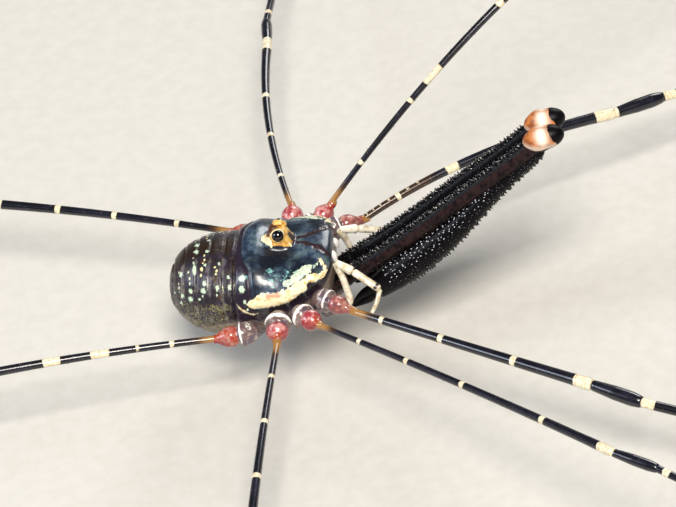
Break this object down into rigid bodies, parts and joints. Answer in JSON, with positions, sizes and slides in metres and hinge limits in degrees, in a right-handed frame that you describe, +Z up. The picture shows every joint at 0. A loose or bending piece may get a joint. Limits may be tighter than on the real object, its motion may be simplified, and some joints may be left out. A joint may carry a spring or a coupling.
{
  "type": "long-jawed harvestman, male, life-size still model",
  "caption": "Life-size model of a male long-jawed harvestman standing on long thin legs, with long spiny chelicerae raised in front.",
  "frame": {"origin": "on the floor, under the middle of the whole animal's box", "axes": "+X the way the head points, +Y the animal's left, +Z up from the floor"},
  "size_m": [0.0894, 0.0848, 0.01],
  "materials": {
    "carapace": "glossy blue-black with a cream side stripe",
    "abdomen": "satin purple-black with pale spots",
    "eye": "wet gloss",
    "chelicera": "glossy black with rough denticles and orange-cream knees",
    "pedipalp": "satin cream-white, slightly translucent",
    "hip": "satin, translucent pinkish brown",
    "leg": "glossy blue-black with cream bands"
  },
  "bodies": {
    "root": {"abdomen": "abdomen", "carapace": "carapace", "chelicera_left_arm": "chelicera", "chelicera_left_finger_fixed": "chelicera", "chelicera_left_finger_moving": "chelicera", "chelicera_left_hand": "chelicera", "chelicera_right_arm": "chelicera", "chelicera_right_finger_fixed": "chelicera", "chelicera_right_finger_moving": "chelicera", "chelicera_right_hand": "chelicera", "eye_left": "eye", "eye_right": "eye", "leg_1_left_femur": "leg", "leg_1_left_hip": "hip", "leg_1_left_metatarsus": "leg", "leg_1_left_tarsus": "leg", "leg_1_left_tibia": "leg", "leg_1_right_femur": "leg", "leg_1_right_hip": "hip", "leg_1_right_metatarsus": "leg", "leg_1_right_tarsus": "leg", "leg_1_right_tibia": "leg", "leg_2_left_femur": "leg", "leg_2_left_hip": "hip", "leg_2_left_metatarsus": "leg", "leg_2_left_tarsus": "leg", "leg_2_left_tibia": "leg", "leg_2_right_femur": "leg", "leg_2_right_hip": "hip", "leg_2_right_metatarsus": "leg", "leg_2_right_tarsus": "leg", "leg_2_right_tibia": "leg", "leg_3_left_femur": "leg", "leg_3_left_hip": "hip", "leg_3_left_metatarsus": "leg", "leg_3_left_tarsus": "leg", "leg_3_left_tibia": "leg", "leg_3_right_femur": "leg", "leg_3_right_hip": "hip", "leg_3_right_metatarsus": "leg", "leg_3_right_tarsus": "leg", "leg_3_right_tibia": "leg", "leg_4_left_femur": "leg", "leg_4_left_hip": "hip", "leg_4_left_metatarsus": "leg", "leg_4_left_tarsus": "leg", "leg_4_left_tibia": "leg", "leg_4_right_femur": "leg", "leg_4_right_hip": "hip", "leg_4_right_metatarsus": "leg", "leg_4_right_tarsus": "leg", "leg_4_right_tibia": "leg", "pedipalp_left_femur": "pedipalp", "pedipalp_left_tarsus": "pedipalp", "pedipalp_left_tibia": "pedipalp", "pedipalp_right_femur": "pedipalp", "pedipalp_right_tarsus": "pedipalp", "pedipalp_right_tibia": "pedipalp"}
  },
  "joints": []
}
